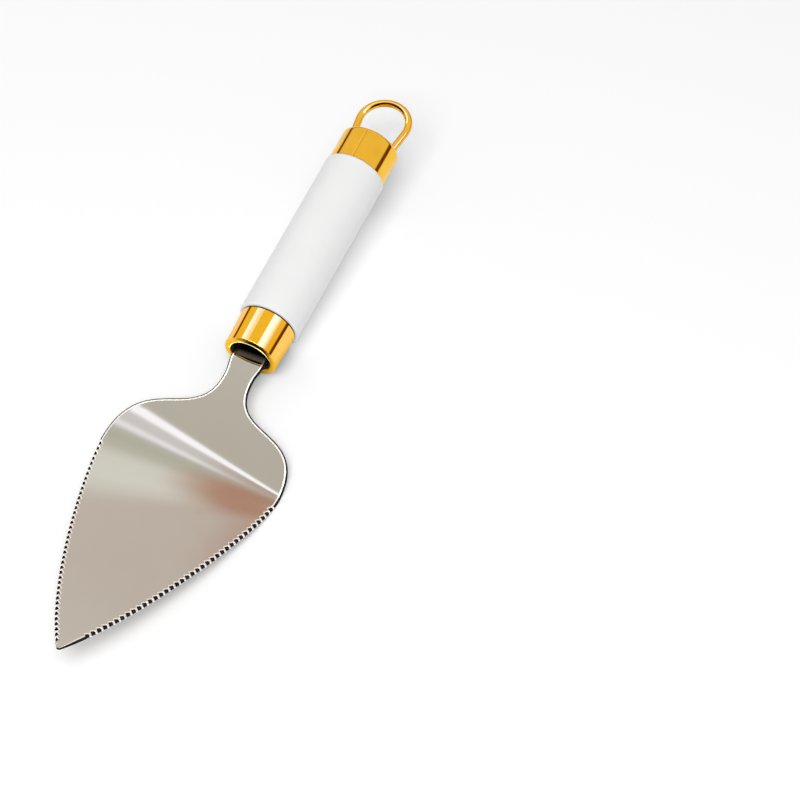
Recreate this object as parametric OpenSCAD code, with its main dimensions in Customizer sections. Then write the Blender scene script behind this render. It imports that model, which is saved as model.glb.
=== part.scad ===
// Cake server: a bent serrated blade on a round handle with two gold end fittings and a hanging loop.
// Each piece is drawn along the handle, +Y from the blade's tip to the loop, with Y = 0 at the front end of
// the white sleeve and Z = 0 on the handle's axis. The whole server is then set down on the table, on the
// heel of its blade and the front edge of its ferrule or of its sleeve, whichever meets the table first.

/* [Blade] */
// Thickness of the sheet
sheet_t = 1.2; // [0.8:0.1:2]
// Length along the sheet from the tip to the bend at the heel
blade_len = 87.4; // [70:0.2:110]
// Widest width, over the points of the teeth
blade_w = 64.5; // [44:0.5:80]
// Distance of the widest place from the tip, along the sheet
widest_at = 89; // [80:0.5:95]
// Width of the flat at the tip
tip_w = 1; // [0.6:0.1:4]
// Slope of each edge at the tip, across to along
tip_flare = 0.77; // [0.5:0.02:1]
// How far the edge keeps the slope of the tip
tip_pull = 19; // [8:0.5:30]
// How far the edge keeps straight before the widest place
heel_pull = 17; // [8:0.5:30]
// Rise of the blade towards its tip, from the handle's axis, in degrees
blade_rise = 15; // [8:0.5:22]
// Radius of the bend at the heel, at the middle of the sheet
heel_bend_r = 8; // [4:0.5:40]

/* [Teeth] */
// Distance from tooth to tooth
tooth_pitch = 2.25; // [1.5:0.05:4]
// Depth of the teeth
tooth_depth = 0.8; // [0.3:0.05:1.2]
// Share of a tooth that is its long side, towards the tip
tooth_slope = 0.75; // [0.5:0.05:0.9]
// Plain edge left at the tip
tooth_start = 3; // [1:0.5:12]
// Plain edge left before the widest place
tooth_end = 2; // [0:0.5:20]

/* [Neck and tang] */
// Length of the neck, from the bend at the heel to where it meets the axis
neck_len = 45.5; // [36:0.5:60]
// Fall of the neck from the handle's axis, in degrees
neck_fall = 5.5; // [3:0.5:9]
// Narrowest width of the neck
neck_w = 10.4; // [8:0.2:13]
// Distance from the narrowest place to where the neck meets the axis
neck_waist = 8; // [4:0.5:14]
// How far the shoulder runs on before it turns in to the neck
shoulder_pull = 28; // [15:0.5:30]
// How far the neck runs on before it turns out to the shoulder
neck_pull = 21; // [8:0.5:22]
// Width of the two horns that stop against the core
horn_w = 12.2; // [11:0.2:12.8]
// How far in front of the ferrule the neck leaves the axis
root_out = 1; // [0.5:0.1:4]
// Width of the tang
tang_w = 9; // [6:0.2:10]
// Length of the tang inside the white sleeve
tang_len = 26; // [18:0.5:40]
// Radius of the slight bend where the neck meets the axis
neck_bend_r = 20; // [8:0.5:30]

/* [Front ferrule] */
// Length from its mouth to the sleeve
ferrule_len = 13.9; // [11:0.1:20]
// Outside diameter at its front edge
ferrule_d = 19.1; // [18.7:0.1:20.2]
// How much wider it gets towards the sleeve
ferrule_flare = 0.65; // [0:0.05:0.8]
// Radius of its rounded front edge
ferrule_edge_r = 1.8; // [1:0.1:2.3]
// Diameter of its mouth
mouth_d = 14.4; // [14:0.1:15]

/* [White sleeve] */
// Length
sleeve_len = 66.3; // [50:0.1:110]
// Outside diameter
sleeve_d = 21.6; // [20.6:0.1:22.6]
// Diameter of its bore
sleeve_bore_d = 16; // [13:0.1:17]
// Radius of its rounded ends
sleeve_edge_r = 0.7; // [0.3:0.1:1]

/* [Rear cap] */
// Length from the sleeve to its end
cap_len = 13; // [10:0.1:20]
// Outside diameter
cap_d = 20.8; // [19.6:0.1:21.4]
// Radius of its rounded end
cap_edge_r = 1.6; // [0.9:0.1:2.2]
// Wall of both gold fittings
metal_t = 0.8; // [0.5:0.05:1]

/* [Hanging loop] */
// Diameter of the wire
wire_d = 2.5; // [1.6:0.1:2.6]
// How much the wire thins where it is bent
bend_thin = 0.06; // [0.04:0.01:0.2]
// Distance between the legs, centre to centre, at the end of the cap
leg_span = 14.9; // [11:0.1:15.2]
// Radius of the round end, at the middle of the wire
loop_r = 8.7; // [7.8:0.1:10]
// How far the loop stands out from the cap
loop_reach = 19.4; // [16:0.1:32]
// Diameter of the staked head on each leg
head_d = 3.1; // [2.8:0.1:3.2]
// Thickness of the staked head
head_t = 1.2; // [0.8:0.1:1.6]

/* [Core] */
// Depth of the well in the core, round the neck
well_depth = 4.5; // [2:0.1:8]
// How far the rim of the well shows inside the ferrule's mouth
well_rim = 0.5; // [0.3:0.1:0.7]
// Length of the core and bush inside the cap
bush_len = 7.5; // [4:0.1:7.8]
// Diameter of the hollow in the core
hollow_d = 11; // [6:0.2:12]
// Diameter of the cross pins
pin_d = 2.5; // [1.5:0.1:3]
// Distance between the two pins
pin_gap = 12; // [8:0.5:14]
// Clearance all round each fit
fit = 0.05; // [0.02:0.01:0.1]

/* [Hidden] */
$fn = 96;

// Points along one stretch of an outline curve, and along one bend of the sheet
curve_steps = 24;
bend_steps = 8;
// Share of the edge that its slope is taken over
slope_step = 0.001;
// Room that a cut goes past the face that it opens
past = 1;

// Where the ferrule starts to flare, behind its rounded front edge
flare_y = ferrule_edge_r - ferrule_len;

// Inside diameters of the gold fittings at their outer ends, and what fits in them
ferrule_bore_d = ferrule_d - 2 * metal_t;
cap_bore_d = cap_d - 2 * metal_t;
core_d = sleeve_bore_d - 2 * fit;
collar_d = ferrule_bore_d - 2 * fit;
collar_len = ferrule_len - metal_t - fit;
well_d = mouth_d - 2 * well_rim;
well_floor_y = well_depth - collar_len;
bush_d = cap_bore_d - 2 * fit;

// The sheet's side view: the tang lies on the axis, the neck falls and the blade rises to the tip
neck_root_y = -ferrule_len - root_out;
heel_y = neck_root_y - neck_len * cos(neck_fall);
heel_z = -neck_len * sin(neck_fall);
tip_y = heel_y - blade_len * cos(blade_rise);
tip_z = heel_z + blade_len * sin(blade_rise);
heel_turn = neck_fall + blade_rise;

// Lengths along the sheet, from the tip
waist_s = blade_len + neck_len - neck_waist;
root_s = blade_len + neck_len;

// The table touches the outside of the heel's bend and the front edge of the ferrule or of the sleeve
heel_lean = (blade_rise - neck_fall) / 2;
heel_centre = [heel_y + sin(heel_lean) * heel_bend_r / cos(heel_turn / 2),
               heel_z + cos(heel_lean) * heel_bend_r / cos(heel_turn / 2)];
heel_out_r = heel_bend_r + sheet_t / 2;
function tilt_over(reach, edge_r) =
    asin((edge_r - heel_out_r) / norm(reach)) - atan2(reach.y, reach.x);
ferrule_edge = [flare_y, ferrule_edge_r - ferrule_d / 2];
sleeve_edge = [sleeve_edge_r, sleeve_edge_r - sleeve_d / 2];
rest_tilt = max(tilt_over(ferrule_edge - heel_centre, ferrule_edge_r),
                tilt_over(sleeve_edge - heel_centre, sleeve_edge_r));
rest_z = heel_out_r - heel_centre.x * sin(rest_tilt) - heel_centre.y * cos(rest_tilt);

// The loop's far end and the blade's tip, as they lie, are as far from the origin
cap_end_y = sleeve_len + cap_len;
bend_d = wire_d - bend_thin;
loop_centre_y = cap_end_y + loop_reach - loop_r - bend_d / 2;
far_y = (loop_centre_y + loop_r) * cos(rest_tilt) + bend_d / 2;
near_y = tip_y * cos(rest_tilt) - (tip_z + sheet_t / 2 / cos(blade_rise)) * sin(rest_tilt);
rest_y = -(far_y + near_y) / 2;

// The loop's legs lean in towards the cap and run on into its round end
leg_rise = loop_centre_y - cap_end_y;
leg_lean = asin(loop_r / norm([leg_rise, leg_span / 2])) - atan2(leg_span / 2, leg_rise);
leg_out = (leg_rise - loop_r * sin(leg_lean)) / cos(leg_lean) + bend_thin;
leg_in = (metal_t + head_t) / cos(leg_lean) + head_d / 2 * tan(leg_lean) + fit;

// Middle of the pair of pins, along the tang
pins_y = tang_len / 2;

function bezier(a, b, c, d, t) =
    pow(1 - t, 3) * a + 3 * t * pow(1 - t, 2) * b + 3 * t * t * (1 - t) * c + pow(t, 3) * d;

// Half of the flat outline, as [across, along the sheet]: the edge to the widest place
function edge_point(t) = bezier(
    [tip_w / 2, 0],
    [tip_w / 2 + tip_flare * tip_pull, tip_pull],
    [blade_w / 2, widest_at - heel_pull],
    [blade_w / 2, widest_at], t);

// The shoulder, from the widest place to the narrowest part of the neck
function shoulder_point(t) = bezier(
    [blade_w / 2, widest_at],
    [blade_w / 2, widest_at + shoulder_pull],
    [neck_w / 2, waist_s - neck_pull],
    [neck_w / 2, waist_s], t);

// The horn, from the narrowest part of the neck to where it meets the axis
function horn_point(t) = bezier(
    [neck_w / 2, waist_s],
    [neck_w / 2, waist_s + neck_waist / 2],
    [horn_w / 2, root_s - neck_waist / 2],
    [horn_w / 2, root_s], t);

// Table of [length along the edge, t], so that the teeth lie at an even pitch
function edge_table(steps, i = 0, run = 0) =
    i > steps ? [] : concat([[run, i / steps]],
        edge_table(steps, i + 1, run + norm(edge_point((i + 1) / steps) - edge_point(i / steps))));
edge_run = edge_table(2 * curve_steps);
edge_len = edge_run[2 * curve_steps][0];
teeth = floor((edge_len - tooth_start - tooth_end) / tooth_pitch);

// A point on the edge at a length along it, sunk below the edge
function on_edge(run, sink = 0) =
    let (t = lookup(run, edge_run),
         along = edge_point(t + slope_step) - edge_point(t - slope_step))
    edge_point(t) + sink * [-along.y, along.x] / norm(along);

// Where a place on the flat sheet lies once the sheet is bent, seen from above
function bent(p) = [p.x,
    p.y < blade_len ? heel_y - (blade_len - p.y) * cos(blade_rise) :
    p.y < root_s ? neck_root_y - (root_s - p.y) * cos(neck_fall) :
    neck_root_y + p.y - root_s];

half_outline = concat(
    [edge_point(0)],
    [for (i = [0 : teeth - 1], run = tooth_start + i * tooth_pitch, part = [0, 1])
        part == 0 ? on_edge(run, tooth_depth) : on_edge(run + tooth_slope * tooth_pitch)],
    [for (i = [0 : curve_steps - 1]) shoulder_point(i / curve_steps)],
    [for (i = [0 : curve_steps / 2]) horn_point(2 * i / curve_steps)],
    [[horn_w / 2, root_s - neck_root_y + well_floor_y],
     [tang_w / 2, root_s - neck_root_y + well_floor_y],
     [tang_w / 2, root_s - neck_root_y + tang_len]]);

// Sets a piece down on the table
module at_rest() {
    translate([0, rest_y, rest_z])
        rotate([rest_tilt, 0, 0])
            children();
}

// Turns a profile of [radius, along the handle] round the handle's axis
module turned() {
    rotate([-90, 0, 0])
        rotate_extrude()
            children();
}

// A round bar across the handle's split, or any bar along Z
module upright(d, h) {
    cylinder(d = d, h = h, center = true);
}

// The sheet from above, seen flat, as it is cut
module blade_outline() {
    right = [for (p = half_outline) bent(p)];
    left = [for (i = [len(right) - 1 : -1 : 0]) [-right[i].x, right[i].y]];
    polygon(concat(right, left));
}

// One face of the sheet in side view, from the tang's end to the tip
function face(side) =
    let (off = side * sheet_t / 2,
         neck_set = neck_bend_r * tan(neck_fall / 2),
         neck_centre = [neck_root_y + neck_set, -neck_bend_r])
    concat(
        [[tang_len, off]],
        [for (i = [0 : bend_steps]) let (a = 90 + neck_fall * i / bend_steps)
            neck_centre + (neck_bend_r + off) * [cos(a), sin(a)]],
        [for (i = [0 : bend_steps]) let (a = 270 + neck_fall - heel_turn * i / bend_steps)
            heel_centre + (heel_bend_r - off) * [cos(a), sin(a)]],
        [[tip_y - past * cos(blade_rise), tip_z + past * sin(blade_rise)]
            + off * [sin(blade_rise), cos(blade_rise)]]);

module blade_side() {
    top = face(1);
    under = face(-1);
    polygon(concat(top, [for (i = [len(under) - 1 : -1 : 0]) under[i]]));
}

module blade() {
    tall = 2 * (tip_z + sheet_t + past);
    color([0.71, 0.68, 0.63])
        at_rest()
            difference() {
                intersection() {
                    linear_extrude(tall, center = true)
                        blade_outline();
                    rotate([90, 0, 90])
                        linear_extrude(blade_w + past, center = true)
                            blade_side();
                }
                for (side = [-1, 1])
                    translate([0, pins_y + side * pin_gap / 2, 0])
                        upright(pin_d + 2 * fit, sheet_t + past);
            }
}

module front_ferrule() {
    r = ferrule_d / 2;
    rear_r = (ferrule_d + ferrule_flare) / 2;
    color([0.93, 0.70, 0.22])
        at_rest()
            turned()
                difference() {
                    union() {
                        translate([mouth_d / 2, -ferrule_len])
                            square([r - ferrule_edge_r - mouth_d / 2, metal_t]);
                        polygon([[r - metal_t, flare_y], [r, flare_y],
                                 [rear_r, 0], [rear_r - metal_t, 0]]);
                        translate([r - ferrule_edge_r, flare_y])
                            intersection() {
                                circle(ferrule_edge_r);
                                translate([0, -ferrule_edge_r])
                                    square(ferrule_edge_r);
                            }
                    }
                    translate([r - ferrule_edge_r, flare_y])
                        circle(ferrule_edge_r - metal_t);
                }
}

module handle_sleeve() {
    edge_at = sleeve_d / 2 - sleeve_edge_r;
    color([0.95, 0.95, 0.95])
        at_rest()
            turned()
                union() {
                    translate([sleeve_bore_d / 2, 0])
                        square([edge_at - sleeve_bore_d / 2, sleeve_len]);
                    translate([edge_at, sleeve_edge_r])
                        square([sleeve_edge_r, sleeve_len - 2 * sleeve_edge_r]);
                    for (y = [sleeve_edge_r, sleeve_len - sleeve_edge_r])
                        translate([edge_at, y])
                            circle(sleeve_edge_r);
                }
}

// Places what goes with one leg of the loop, with Z along the leg and Z = 0 at the end of the cap
module at_leg(side) {
    translate([side * leg_span / 2, cap_end_y, 0])
        rotate([-90, 0, -side * leg_lean])
            children();
}

module rear_cap() {
    r = cap_d / 2;
    color([0.91, 0.67, 0.20])
        at_rest()
            difference() {
                turned()
                    difference() {
                        union() {
                            translate([0, sleeve_len])
                                square([r, cap_len - cap_edge_r]);
                            translate([0, cap_end_y - cap_edge_r])
                                square([r - cap_edge_r, cap_edge_r]);
                            translate([r - cap_edge_r, cap_end_y - cap_edge_r])
                                intersection() {
                                    circle(cap_edge_r);
                                    square(cap_edge_r);
                                }
                        }
                        translate([0, sleeve_len])
                            square([r - metal_t, cap_len - cap_edge_r]);
                        translate([0, cap_end_y - cap_edge_r])
                            square([r - cap_edge_r, cap_edge_r - metal_t]);
                        translate([r - cap_edge_r, cap_end_y - cap_edge_r])
                            circle(cap_edge_r - metal_t);
                    }
                for (side = [-1, 1])
                    at_leg(side)
                        upright(wire_d + 2 * fit, 2 * (metal_t + past));
            }
}

module hanging_loop() {
    color([0.90, 0.68, 0.24])
        at_rest() {
            translate([0, loop_centre_y, 0])
                rotate([0, 0, -leg_lean])
                    rotate_extrude(angle = 180 + 2 * leg_lean)
                        translate([loop_r, 0])
                            circle(d = bend_d);
            for (side = [-1, 1])
                at_leg(side) {
                    translate([0, 0, -leg_in])
                        cylinder(d = wire_d, h = leg_in + leg_out);
                    translate([0, 0, -leg_in])
                        cylinder(d = head_d, h = head_t);
                }
        }
}

// The whole moulded core, before it is split along the tang
module core_body() {
    difference() {
        union() {
            turned()
                polygon([[0, -collar_len], [collar_d / 2, -collar_len], [collar_d / 2, flare_y],
                         [(collar_d + ferrule_flare) / 2, 0], [0, 0]]);
            turned()
                square([core_d / 2, sleeve_len + bush_len]);
        }
        turned()
            translate([0, -collar_len - past])
                square([well_d / 2, well_depth + past]);
        turned()
            translate([0, tang_len + past])
                square([hollow_d / 2, sleeve_len + bush_len]);
        translate([-tang_w / 2 - fit, well_floor_y - past, -sheet_t / 2 - fit])
            cube([tang_w + 2 * fit, tang_len - well_floor_y + 2 * past, sheet_t + 2 * fit]);
        for (side = [-1, 1])
            translate([0, pins_y + side * pin_gap / 2, 0])
                upright(pin_d + 2 * fit, sleeve_bore_d);
    }
}

// One half of the core: side is 1 above the split and -1 below it
module core_half(side) {
    size = [collar_d + 2 * past, collar_len + sleeve_len + bush_len + past, collar_d];
    intersection() {
        core_body();
        translate([-size.x / 2, -collar_len - past / 2, side > 0 ? 0 : -size.z])
            cube(size);
    }
}

module core_upper() {
    color([0.10, 0.09, 0.08])
        at_rest()
            core_half(1);
}

module core_lower() {
    color([0.12, 0.11, 0.10])
        at_rest()
            core_half(-1);
}

module tang_pins() {
    pin_h = 2 * sqrt(pow(core_d / 2, 2) - pow(pin_d / 2, 2)) - 2 * fit;
    color([0.70, 0.70, 0.72])
        at_rest()
            for (side = [-1, 1])
                translate([0, pins_y + side * pin_gap / 2, 0])
                    upright(pin_d, pin_h);
}

module cap_bush() {
    color([0.16, 0.15, 0.14])
        at_rest()
            turned()
                translate([core_d / 2 + fit, sleeve_len])
                    square([bush_d / 2 - core_d / 2 - fit, bush_len]);
}

blade();
front_ferrule();
handle_sleeve();
rear_cap();
hanging_loop();
core_upper();
core_lower();
tang_pins();
cap_bush();
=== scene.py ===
"""The looks of a cake server: a serrated steel blade, a white handle between gold fittings, a wire loop.

Sizes are in millimetres, the values that the solids are drawn with, apart from finer edges, joints and bends.
Each piece is drawn along the handle, +Y from the blade's tip to the loop, with Y = 0 at the front end of the
white sleeve and Z = 0 on the handle's axis, and is then set down where the solids lie, in metres.
"""

import logging
import math
from collections.abc import Callable
from dataclasses import dataclass
from enum import Enum
from typing import Any

import bmesh
import bpy
from mathutils import Matrix, Quaternion, Vector
from mathutils.geometry import interpolate_bezier


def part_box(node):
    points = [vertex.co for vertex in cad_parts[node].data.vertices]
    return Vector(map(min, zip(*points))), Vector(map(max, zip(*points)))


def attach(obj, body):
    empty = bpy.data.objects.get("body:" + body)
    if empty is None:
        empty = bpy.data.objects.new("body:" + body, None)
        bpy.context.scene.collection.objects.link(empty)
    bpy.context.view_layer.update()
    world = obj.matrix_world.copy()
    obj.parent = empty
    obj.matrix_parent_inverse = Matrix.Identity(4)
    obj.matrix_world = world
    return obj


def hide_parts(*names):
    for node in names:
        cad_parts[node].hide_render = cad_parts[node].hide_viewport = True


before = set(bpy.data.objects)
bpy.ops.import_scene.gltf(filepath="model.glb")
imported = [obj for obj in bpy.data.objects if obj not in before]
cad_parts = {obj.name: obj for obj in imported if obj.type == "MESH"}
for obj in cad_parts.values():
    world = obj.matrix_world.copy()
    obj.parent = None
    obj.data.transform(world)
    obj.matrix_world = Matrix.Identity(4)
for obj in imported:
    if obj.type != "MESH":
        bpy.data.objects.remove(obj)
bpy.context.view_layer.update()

MM = 0.001
BODY = "root"
LOG = logging.getLogger("cake_server")
WHITE = (1.0, 1.0, 1.0)
HALF_TURN = 180.0
# Meshes: doubles to merge, sharp angles in degrees, facets round the axis, points that guard a long run
MERGE_DIST = 1e-6
SHARP_DRAWN = 40.0
SHARP_TURNED = 35.0
TURN_SIDES = 192
GUARD = 0.25
LONG_RUN = 1.0
# Textures: detail of the noise, and the values of it over which dull places and patches start
FINE_DETAIL = 4.0
SOFT_DETAIL = 3.0
DULL_FROM_TO = (0.35, 0.75)
PATCH_FROM_TO = (0.3, 0.7)
# Nodes: colour sockets of a Mix node, and the slack when lengths and zones are compared
MIX_FIRST, MIX_SECOND, MIX_RESULT = 6, 7, 2
RUN_SLACK = 0.01
ZONE_SLACK = 0.1

Colour = tuple[float, float, float]
Flat = tuple[float, float]
Piece = bpy.types.Object
Coat = bpy.types.Material
Mesh = bpy.types.Mesh


def operator(operation: str, swapped: bool = False) -> Callable[["Sock", "Sock | float"], "Sock"]:
    """Make an operator of sockets that adds a Math node.

    Args:
        operation: What the node does.
        swapped: Whether the socket comes second, after a number.

    Returns:
        The method of the operator.
    """
    def method(sock: "Sock", other: "Sock | float") -> "Sock":
        """Add the node, and give its result."""
        return sock.tree.math(operation, *((other, sock) if swapped else (sock, other)))
    return method


class Sock:
    """An output socket of a node, which maths can be written with."""

    def __init__(self, tree: "Tree", node: bpy.types.Node, key: str | int = 0) -> None:
        """Take an output of a node, if it has any.

        Args:
            tree: The tree that its Math nodes go into.
            node: The node.
            key: Name or number of the output.
        """
        self.tree = tree
        self.node = node
        self.socket = node.outputs[key] if node.outputs else None

    def out(self, key: str | int) -> "Sock":
        """Give another output of the same node, by name or by number."""
        return Sock(self.tree, self.node, key)

    __add__ = operator("ADD")
    __radd__ = operator("ADD", True)
    __sub__ = operator("SUBTRACT")
    __rsub__ = operator("SUBTRACT", True)
    __mul__ = operator("MULTIPLY")
    __rmul__ = operator("MULTIPLY", True)
    __truediv__ = operator("DIVIDE")


class Tree:
    """A node tree, and the short ways to add to it."""

    def __init__(self, nodes: bpy.types.NodeTree) -> None:
        """Take over a tree and empty it."""
        self.nodes = nodes
        self.nodes.nodes.clear()

    def add(self, kind: str, sockets: dict[str | int, Any] | None = None, **settings: Any) -> Sock:
        """Add a node.

        Args:
            kind: The node's type.
            sockets: Values or links of its inputs, by name or by number.
            settings: Its own settings, which are set first.

        Returns:
            The new node's first output.
        """
        node = self.nodes.nodes.new(kind)
        for name, value in settings.items():
            setattr(node, name, value)
        for key, value in (sockets or {}).items():
            if isinstance(value, Sock):
                self.nodes.links.new(value.socket, node.inputs[key])
            else:
                node.inputs[key].default_value = value
        return Sock(self, node)

    def math(self, operation: str, *values: "Sock | float") -> Sock:
        """Add a Math node on sockets and numbers, and give its result."""
        return self.add("ShaderNodeMath", dict(enumerate(values)), operation=operation)

    def split(self, vector: Sock) -> list[Sock]:
        """Give the three parts of a vector."""
        parts = self.add("ShaderNodeSeparateXYZ", {0: vector})
        return [parts.out(axis) for axis in range(3)]

    def ease(self, value: Sock, low: float, high: float) -> Sock:
        """Give 0 below low and 1 above high, with a smooth rise between them."""
        sockets = {"Value": value, "From Min": low, "From Max": high}
        return self.add("ShaderNodeMapRange", sockets, interpolation_type="SMOOTHSTEP")

    def blend(self, share: Sock, first: "Sock | Colour", second: "Sock | Colour") -> Sock:
        """Mix two colours.

        Args:
            share: Share of the second colour, from 0 to 1.
            first: The first colour.
            second: The second colour.

        Returns:
            The mixed colour.
        """
        sockets = {0: share}
        for key, colour in ((MIX_FIRST, first), (MIX_SECOND, second)):
            sockets[key] = colour if isinstance(colour, Sock) else (*colour, 1.0)
        return self.add("ShaderNodeMix", sockets, data_type="RGBA").out(MIX_RESULT)

    def ramp(self, value: Sock, stops: "tuple[tuple[float, Colour], ...]") -> Sock:
        """Find the colour at a value, between stops.

        Args:
            value: A value from 0 to 1.
            stops: Places from 0 to 1, in rising order, each with its colour.

        Returns:
            The colour.
        """
        shade = self.add("ShaderNodeValToRGB", {0: value})
        band = shade.node.color_ramp
        band.elements[0].position = stops[0][0]
        band.elements[1].position = stops[-1][0]
        for place, _ in stops[1:-1]:
            band.elements.new(place)
        for element, (_, colour) in zip(band.elements, stops):
            element.color = (*colour, 1.0)
        return shade

    def noise(self, vector: Sock, size: float, detail: float) -> Sock:
        """Give cloudy noise from 0 to 1 whose lumps are about a size, in millimetres, across."""
        sockets = {"Vector": vector, "Scale": 1.0 / (size * MM), "Detail": detail}
        return self.add("ShaderNodeTexNoise", sockets).out("Fac")


class Shader(Tree):
    """The node tree of one material."""

    def __init__(self, name: str) -> None:
        """Start a material whose tree holds only its coordinates.

        Args:
            name: Name of the material.
        """
        self.material = bpy.data.materials.new(name)
        self.material.use_nodes = True
        super().__init__(self.material.node_tree)
        self.coords = self.add("ShaderNodeTexCoord")
        self.place = self.coords.out("Object")

    def stretched(self, stretch: tuple[float, float, float], tilt: float) -> Sock:
        """Give the place on the piece, turned to a slope and squeezed so that patterns draw out along it.

        Args:
            stretch: How many times longer the pattern gets along X, along the slope and square to it.
            tilt: The slope of the piece along Y, in degrees.

        Returns:
            The place that a texture reads.
        """
        sockets = {"Vector": self.place, "Rotation": (math.radians(tilt), 0.0, 0.0), "Scale": stretch}
        return self.add("ShaderNodeMapping", sockets, vector_type="TEXTURE")

    def relief(self, height: Sock, depth: float) -> Sock:
        """Give a normal that follows a height, whose full range is a depth in millimetres."""
        sockets = {"Height": height, "Distance": depth * MM, "Strength": 1.0}
        return self.add("ShaderNodeBump", sockets)

    def finish(self, surface: Sock) -> Coat:
        """Join a surface to the output, and give the material."""
        self.add("ShaderNodeOutputMaterial", {"Surface": surface})
        return self.material


class Grain(Enum):
    """Which way the fine marks of working lie on a metal, as how far they draw out along X, Y and Z."""

    ALONG = (1.0, 40.0, 1.0)
    ACROSS = (30.0, 1.0, 1.0)
    NONE = (1.0, 1.0, 1.0)


@dataclass(frozen=True)
class Finish:
    """What every finish has.

    Attributes:
        name: Name of the material.
        colour: Main colour.
        worn: Colour of the places that are a little duller or darker.
        roughness: Roughness of the surface.
        rough_swing: How much the roughness varies.
    """

    name: str
    colour: Colour
    worn: Colour
    roughness: float
    rough_swing: float


@dataclass(frozen=True)
class Metal(Finish):
    """A bare or plated metal with fine polishing marks and cloudy wear.

    Attributes:
        grain: Which way the marks lie.
        mark_size: Width of one mark.
        mark_depth: Depth of the marks.
        cloud_size: Size of the dull places.
        tilt: Slope of the piece along Y, in degrees.
        edge: Tint of the metal where it is seen at a flat angle. Where it is dark, it paints a dark
            reflection there.
    """

    grain: Grain
    mark_size: float
    mark_depth: float
    cloud_size: float
    tilt: float = 0.0
    edge: Colour = WHITE

    def material(self) -> Coat:
        """Make the material, with its marks on Object coordinates.

        Returns:
            The finished material.
        """
        shader = Shader(self.name)
        marks = shader.noise(shader.stretched(self.grain.value, self.tilt), self.mark_size, FINE_DETAIL)
        clouds = shader.noise(shader.place, self.cloud_size, SOFT_DETAIL)
        dull = shader.ease(clouds, *DULL_FROM_TO)
        surface = shader.add("ShaderNodeBsdfPrincipled", {
            "Base Color": shader.blend(dull, self.colour, self.worn),
            "Metallic": 1.0,
            "Specular Tint": (*self.edge, 1.0),
            "Roughness": self.roughness + self.rough_swing * (0.5 * marks + 0.5 * dull),
            "Normal": shader.relief(marks, self.mark_depth),
        })
        return shader.finish(surface)


@dataclass(frozen=True)
class Moulding(Finish):
    """A moulded plastic with a faint orange-peel skin.

    Attributes:
        peel_size: Size of one lump of the skin.
        peel_depth: Height of the lumps.
        patch_size: Size of the patches.
        gloss: Specular level.
    """

    peel_size: float
    peel_depth: float
    patch_size: float
    gloss: float = 0.5

    def material(self) -> Coat:
        """Make the material, with its skin on Object coordinates.

        Returns:
            The finished material.
        """
        shader = Shader(self.name)
        peel = shader.noise(shader.place, self.peel_size, SOFT_DETAIL)
        patches = shader.noise(shader.place, self.patch_size, FINE_DETAIL)
        surface = shader.add("ShaderNodeBsdfPrincipled", {
            "Base Color": shader.blend(shader.ease(patches, *PATCH_FROM_TO), self.colour, self.worn),
            "Roughness": self.roughness + self.rough_swing * (patches - 0.5),
            "Specular IOR Level": self.gloss,
            "Normal": shader.relief(peel, self.peel_depth),
        })
        return shader.finish(surface)


BLADE_SLOPE = -9.3
HANDLE_SLOPE = 5.7
POLISHED_STEEL = Metal(
    name="polished_steel", colour=(0.575, 0.545, 0.505), worn=(0.56, 0.53, 0.49), roughness=0.045,
    rough_swing=0.03, grain=Grain.ALONG, mark_size=0.25, mark_depth=0.00004, cloud_size=24.0,
    tilt=BLADE_SLOPE)
# Near-white steel for the rounded rims and the foot of the edge: a painted highlight, on top of what the rims
# mirror
STEEL_RIM_PAINTED_HIGHLIGHT = Metal(
    name="steel_rim_painted_highlight", colour=(0.97, 0.965, 0.95), worn=(0.93, 0.92, 0.90), roughness=0.22,
    rough_swing=0.10, grain=Grain.NONE, mark_size=0.3, mark_depth=0.0004, cloud_size=6.0, tilt=BLADE_SLOPE)
# Near-black steel, dark at flat angles too, for the cut faces of the edge: a painted dark reflection
CUT_STEEL_PAINTED_DARK = Metal(
    name="cut_steel_painted_dark", colour=(0.035, 0.033, 0.03), worn=(0.02, 0.019, 0.017), roughness=0.42,
    rough_swing=0.2, grain=Grain.ACROSS, mark_size=0.15, mark_depth=0.002, cloud_size=3.0, tilt=BLADE_SLOPE,
    edge=(0.05, 0.05, 0.05))
BRIGHT_GOLD = Metal(
    name="bright_gold", colour=(1.0, 0.56, 0.025), worn=(0.98, 0.53, 0.02), roughness=0.05,
    rough_swing=0.04, grain=Grain.ALONG, mark_size=0.2, mark_depth=0.00005, cloud_size=9.0,
    tilt=HANDLE_SLOPE, edge=(1.0, 0.85, 0.6))
BRUSHED_GOLD = Metal(
    name="brushed_gold", colour=(0.96, 0.57, 0.055), worn=(0.92, 0.52, 0.045), roughness=0.07,
    rough_swing=0.08, grain=Grain.ALONG, mark_size=0.12, mark_depth=0.0003, cloud_size=7.0,
    tilt=HANDLE_SLOPE)
# Gold wire whose dark tint at flat angles paints a dark outline along its edges: a painted dark reflection
GOLD_WIRE = Metal(
    name="gold_wire", colour=(1.0, 0.59, 0.06), worn=(0.96, 0.53, 0.045), roughness=0.08, rough_swing=0.06,
    grain=Grain.NONE, mark_size=0.4, mark_depth=0.0004, cloud_size=5.0, tilt=HANDLE_SLOPE,
    edge=(0.45, 0.3, 0.08))
PIN_STEEL = Metal(
    name="pin_steel", colour=(0.62, 0.62, 0.63), worn=(0.54, 0.54, 0.55), roughness=0.28, rough_swing=0.15,
    grain=Grain.NONE, mark_size=0.3, mark_depth=0.001, cloud_size=3.0)
WHITE_SLEEVE = Moulding(
    name="white_sleeve", colour=(0.81, 0.81, 0.81), worn=(0.795, 0.795, 0.795), roughness=0.42,
    rough_swing=0.08, peel_size=0.5, peel_depth=0.0008, patch_size=14.0, gloss=0.4)
DARK_CORE = Moulding(
    name="dark_core", colour=(0.012, 0.010, 0.009), worn=(0.02, 0.017, 0.015), roughness=0.5,
    rough_swing=0.2, peel_size=0.4, peel_depth=0.01, patch_size=5.0, gloss=0.3)
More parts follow.
